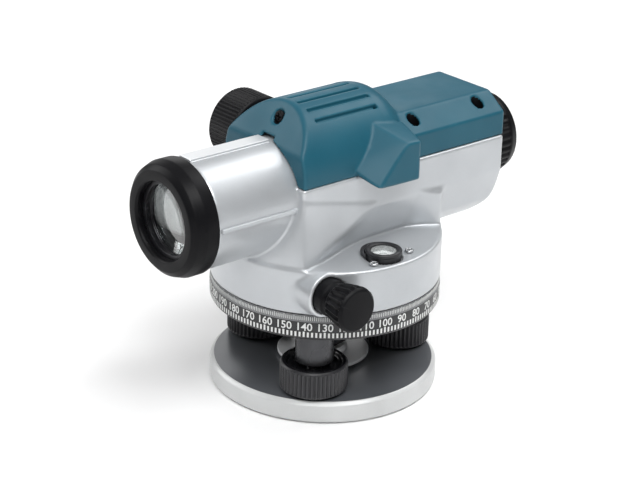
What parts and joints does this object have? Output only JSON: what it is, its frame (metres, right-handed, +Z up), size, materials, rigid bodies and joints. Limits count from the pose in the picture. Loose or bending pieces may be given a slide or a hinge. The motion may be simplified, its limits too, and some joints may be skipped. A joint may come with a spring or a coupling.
{
  "type": "automatic level",
  "caption": "Optical surveying level: telescope with focusing knob, eyepiece, vial and mirror, turning on a drum with a graduated circle over a three-screw levelling base.",
  "frame": {"origin": "centre of the whole object in X and Y, on the surface that it stands on; the vertical turning axis is at x = -5.5 mm, y = 0", "axes": "+Z up; the telescope looks along -X and its eyepiece is at +X; +Y is the side of the focusing knob and -Y the side of the circular vial"},
  "size_m": [0.215, 0.135, 0.1523],
  "materials": {
    "silver_paint": "satin silver paint",
    "white_paint": "satin light grey paint",
    "blue_plastic": "fine textured moulding",
    "black_plastic": "satin moulding",
    "circle_black": "satin black with light marks and degree numbers",
    "black_rubber": "matt to semi-gloss",
    "black_metal": "black anodised or painted",
    "steel": "machined",
    "brass": "machined",
    "glass": "polished and coated",
    "mirror": "polished"
  },
  "bodies": {
    "base": {"base_plate": "white_paint"},
    "screw_1": {"levelling_screw_1": "steel", "levelling_knob_1": "black_plastic"},
    "screw_2": {"levelling_screw_2": "steel", "levelling_knob_2": "black_plastic"},
    "screw_3": {"levelling_screw_3": "steel", "levelling_knob_3": "black_plastic"},
    "spring_plate": {"spring_plate": "steel"},
    "tribrach": {"tribrach": "black_metal", "spindle": "steel", "spindle_nut": "steel"},
    "circle": {"graduated_ring": "circle_black"},
    "clutch": {"worm_wheel": "brass", "clutch_washer": "steel"},
    "alidade": {"main_housing": "silver_paint", "top_cover": "blue_plastic", "vial_mirror": "mirror", "cover_screw_1": "steel", "cover_screw_2": "steel", "cover_screw_3": "steel", "cover_screw_4": "steel", "cover_screw_front": "steel", "vial_ring": "black_plastic", "vial_glass": "glass", "vial_screw_left": "steel", "vial_screw_right": "steel", "objective_ring": "black_rubber", "objective_cell": "black_metal", "objective_lens": "glass", "objective_flint": "glass", "objective_retainer": "black_metal", "focus_bush": "brass", "eyepiece_barrel": "black_metal", "reticle_glass": "glass", "reticle_retainer": "brass", "compensator_frame": "black_metal", "front_prism": "glass", "rear_prism": "glass", "damper_cup": "black_metal", "suspension_ribbon_left": "steel", "suspension_ribbon_right": "steel", "bearing_bush": "brass", "drive_bush_left": "black_plastic", "drive_bush_right": "black_plastic"},
    "drive": {"drive_shaft": "steel", "drive_knob_left": "black_plastic", "drive_knob_right": "black_plastic"},
    "focus": {"focus_pinion": "brass", "focusing_knob": "black_rubber"},
    "carriage": {"focusing_carriage": "black_metal", "focusing_lens": "glass"},
    "eyepiece": {"eyepiece_ring": "black_rubber"},
    "ocular": {"eyepiece_cell": "black_metal", "field_lens": "glass", "eye_lens": "glass"},
    "pendulum": {"pendulum": "brass", "pendulum_prism": "glass"}
  },
  "joints": [
    {"name": "screw_1_turn", "type": "hinge", "parent": "base", "child": "screw_1", "pos_m": [-0.0356, -0.02857, 0.019], "axis": [0, 0, 1], "range_deg": [-600, 600]},
    {"name": "screw_2_turn", "type": "hinge", "parent": "base", "child": "screw_2", "pos_m": [0.03429, -0.01179, 0.019], "axis": [0, 0, 1], "range_deg": [-345, 345]},
    {"name": "screw_3_turn", "type": "hinge", "parent": "base", "child": "screw_3", "pos_m": [-0.01519, 0.04035, 0.019], "axis": [0, 0, 1], "range_deg": [-345, 345]},
    {"name": "tilt_across", "type": "hinge", "parent": "base", "child": "spring_plate", "pos_m": [-0.0055, 0, 0.013], "axis": [-0.7254, -0.6884, 0], "range_deg": [-1.5, 1.5]},
    {"name": "tilt_along", "type": "hinge", "parent": "spring_plate", "child": "tribrach", "pos_m": [-0.0055, 0, 0.013], "axis": [0.6884, -0.7254, 0], "range_deg": [-1.5, 1.5]},
    {"name": "circle_turn", "type": "hinge", "parent": "tribrach", "child": "circle", "pos_m": [-0.0055, 0, 0.051], "axis": [0, 0, 1], "continuous": true},
    {"name": "clutch_slip", "type": "hinge", "parent": "tribrach", "child": "clutch", "pos_m": [-0.0055, 0, 0.066], "axis": [0, 0, 1], "continuous": true},
    {"name": "alidade_turn", "type": "hinge", "parent": "clutch", "child": "alidade", "pos_m": [-0.0055, 0, 0.077], "axis": [0, 0, 1], "continuous": true},
    {"name": "drive_turn", "type": "hinge", "parent": "alidade", "child": "drive", "pos_m": [-0.0425, 0, 0.06925], "axis": [0, 1, 0], "continuous": true},
    {"name": "focus_turn", "type": "hinge", "parent": "alidade", "child": "focus", "pos_m": [-0.0215, 0, 0.124], "axis": [0, 1, 0], "range_deg": [-140.6, 140.6]},
    {"name": "focus_slide", "type": "slide", "parent": "alidade", "child": "carriage", "axis": [1, 0, 0], "range_m": [-0.0098, 0.0098]},
    {"name": "eyepiece_turn", "type": "hinge", "parent": "alidade", "child": "eyepiece", "pos_m": [0.0975, 0, 0.108], "axis": [1, 0, 0], "range_deg": [-150.6, 150.6]},
    {"name": "ocular_slide", "type": "slide", "parent": "alidade", "child": "ocular", "axis": [1, 0, 0], "range_m": [-0.00125, 0.00125]},
    {"name": "pendulum_swing", "type": "hinge", "parent": "alidade", "child": "pendulum", "pos_m": [0.0265, 0, 0.1197], "axis": [0, 1, 0], "range_deg": [-0.5, 0.5]}
  ],
  "couplings": [
    {"joint": "screw_1_turn", "follows": "tilt_along", "ratio": 391.13},
    {"joint": "screw_2_turn", "follows": "tilt_across", "ratio": -225.82},
    {"joint": "screw_3_turn", "follows": "tilt_across", "ratio": 225.82},
    {"joint": "drive_turn", "follows": "alidade_turn", "ratio": 60},
    {"joint": "focus_turn", "follows": "focus_slide", "rad_per_m": -250},
    {"joint": "eyepiece_turn", "follows": "ocular_slide", "rad_per_m": 2096.4}
  ]
}
